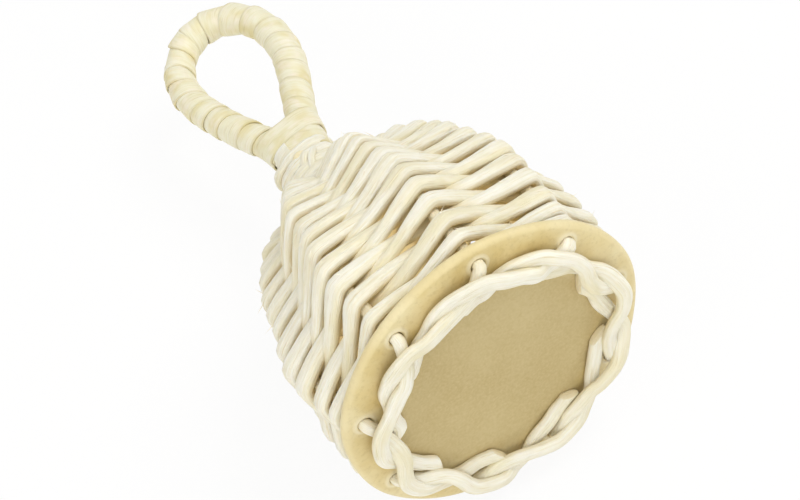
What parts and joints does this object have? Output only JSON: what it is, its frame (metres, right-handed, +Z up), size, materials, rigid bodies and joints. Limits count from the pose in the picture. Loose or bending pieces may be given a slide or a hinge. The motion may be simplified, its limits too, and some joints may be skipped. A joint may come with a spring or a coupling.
{
  "type": "caxixi",
  "caption": "Twined basket rattle with a round base disc, loose seeds inside and a cane-bound finger loop, shaken by the loop so that the seeds strike the disc and the wall.",
  "frame": {"origin": "middle of the footprint, on the table, with the instrument lying on its side", "axes": "+Z up; +Y along the basket from the base disc towards the finger loop; +X across the basket"},
  "size_m": [0.076, 0.158, 0.0757],
  "materials": {
    "disc": "smooth, waxed",
    "reed": "matte, peeled reed",
    "cane": "satin cane skin",
    "seed": "smooth husk"
  },
  "bodies": {
    "basket": {"base_disc": "disc", "stake_1": "reed", "stake_2": "reed", "stake_3": "reed", "stake_4": "reed", "stake_5": "reed", "stake_6": "reed", "stake_7": "reed", "stake_8": "reed", "stake_9": "reed", "weaver_a_length_1": "reed", "weaver_a_length_2": "reed", "weaver_a_length_3": "reed", "weaver_a_length_4": "reed", "weaver_a_length_5": "reed", "weaver_a_length_6": "reed", "weaver_b_length_1": "reed", "weaver_b_length_2": "reed", "weaver_b_length_3": "reed", "weaver_b_length_4": "reed", "weaver_b_length_5": "reed", "weaver_b_length_6": "reed", "neck_binding": "reed", "collar": "cane", "handle_core": "reed", "handle_wrap": "cane"},
    "seed_1": {"seed_1": "seed"},
    "seed_2": {"seed_2": "seed"},
    "seed_3": {"seed_3": "seed"},
    "seed_4": {"seed_4": "seed"},
    "seed_5": {"seed_5": "seed"},
    "seed_6": {"seed_6": "seed"},
    "seed_7": {"seed_7": "seed"},
    "seed_8": {"seed_8": "seed"},
    "seed_9": {"seed_9": "seed"},
    "seed_10": {"seed_10": "seed"},
    "seed_11": {"seed_11": "seed"},
    "seed_12": {"seed_12": "seed"}
  },
  "joints": [
    {"name": "seed_1_flight", "type": "slide", "parent": "basket", "child": "seed_1", "axis": [0, -0.9567, 0.2911], "range_m": [0, 0.02325]},
    {"name": "seed_2_flight", "type": "slide", "parent": "basket", "child": "seed_2", "axis": [0, -0.9567, 0.2911], "range_m": [0, 0.01976]},
    {"name": "seed_3_flight", "type": "slide", "parent": "basket", "child": "seed_3", "axis": [0, -0.9567, 0.2911], "range_m": [0, 0.01857]},
    {"name": "seed_4_flight", "type": "slide", "parent": "basket", "child": "seed_4", "axis": [0, -0.9567, 0.2911], "range_m": [0, 0.02166]},
    {"name": "seed_5_flight", "type": "slide", "parent": "basket", "child": "seed_5", "axis": [0, -0.9567, 0.2911], "range_m": [0, 0.01869]},
    {"name": "seed_6_flight", "type": "slide", "parent": "basket", "child": "seed_6", "axis": [0, -0.9567, 0.2911], "range_m": [0, 0.01972]},
    {"name": "seed_7_flight", "type": "slide", "parent": "basket", "child": "seed_7", "axis": [0, -0.9567, 0.2911], "range_m": [0, 0.02264]},
    {"name": "seed_8_flight", "type": "slide", "parent": "basket", "child": "seed_8", "axis": [0, -0.9567, 0.2911], "range_m": [0, 0.03709]},
    {"name": "seed_9_flight", "type": "slide", "parent": "basket", "child": "seed_9", "axis": [0, -0.9567, 0.2911], "range_m": [0, 0.03489]},
    {"name": "seed_10_flight", "type": "slide", "parent": "basket", "child": "seed_10", "axis": [0, -0.9567, 0.2911], "range_m": [0, 0.0365]},
    {"name": "seed_11_flight", "type": "slide", "parent": "basket", "child": "seed_11", "axis": [0, -0.9567, 0.2911], "range_m": [0, 0.03494]},
    {"name": "seed_12_flight", "type": "slide", "parent": "basket", "child": "seed_12", "axis": [0, -0.9567, 0.2911], "range_m": [0, 0.03699]}
  ]
}
